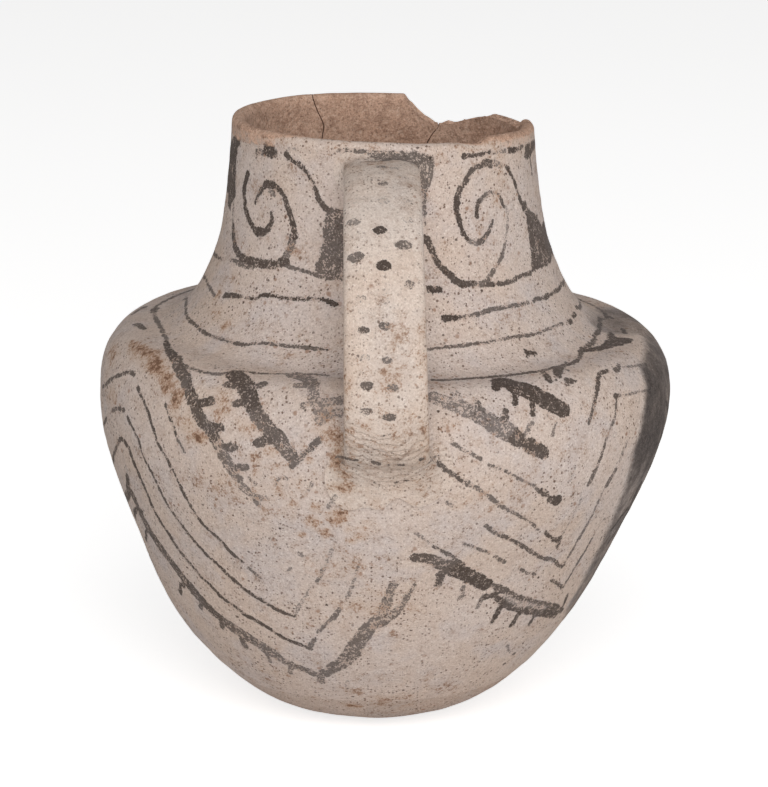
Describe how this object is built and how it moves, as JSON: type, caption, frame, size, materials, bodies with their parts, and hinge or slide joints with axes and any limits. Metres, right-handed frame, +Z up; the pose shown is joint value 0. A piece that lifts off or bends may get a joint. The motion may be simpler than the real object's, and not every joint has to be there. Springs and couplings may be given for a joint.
{
  "type": "pottery pitcher",
  "caption": "Coil-built black-on-white pottery pitcher with a riveted strap handle, a cracked neck and a broken rim.",
  "frame": {"origin": "centre of the flat worn patch that the pitcher rests on", "axes": "+Z up through the mouth; the strap handle is on the -Y side; +X is to the right when the handle faces the viewer, and the pot leans a little that way"},
  "size_m": [0.1572, 0.1699, 0.166],
  "materials": {
    "painted_slip": "matt pinkish white slip with black mineral paint, worn and speckled",
    "worn_slip": "matt slip rubbed thin over buff clay",
    "strap_slip": "matt pale slip with black dots",
    "bare_clay": "unslipped gritty clay"
  },
  "bodies": {
    "root": {"base_pat": "worn_slip", "lower_wall_coil_1": "worn_slip", "lower_wall_coil_2": "painted_slip", "lower_wall_coil_3": "painted_slip", "lower_wall_coil_4": "painted_slip", "lower_wall_coil_5": "painted_slip", "lower_wall_coil_6": "painted_slip", "belly_coil": "painted_slip", "shoulder_coil_1": "painted_slip", "shoulder_coil_2": "painted_slip", "neck_coil_1": "painted_slip", "neck_coil_2": "painted_slip", "neck_coil_3": "painted_slip", "rim_coil": "painted_slip", "rear_neck_sherd": "painted_slip", "handle_strap": "strap_slip", "handle_top_smear": "strap_slip", "handle_foot_smear": "strap_slip", "handle_rivet_pad": "bare_clay"}
  },
  "joints": []
}
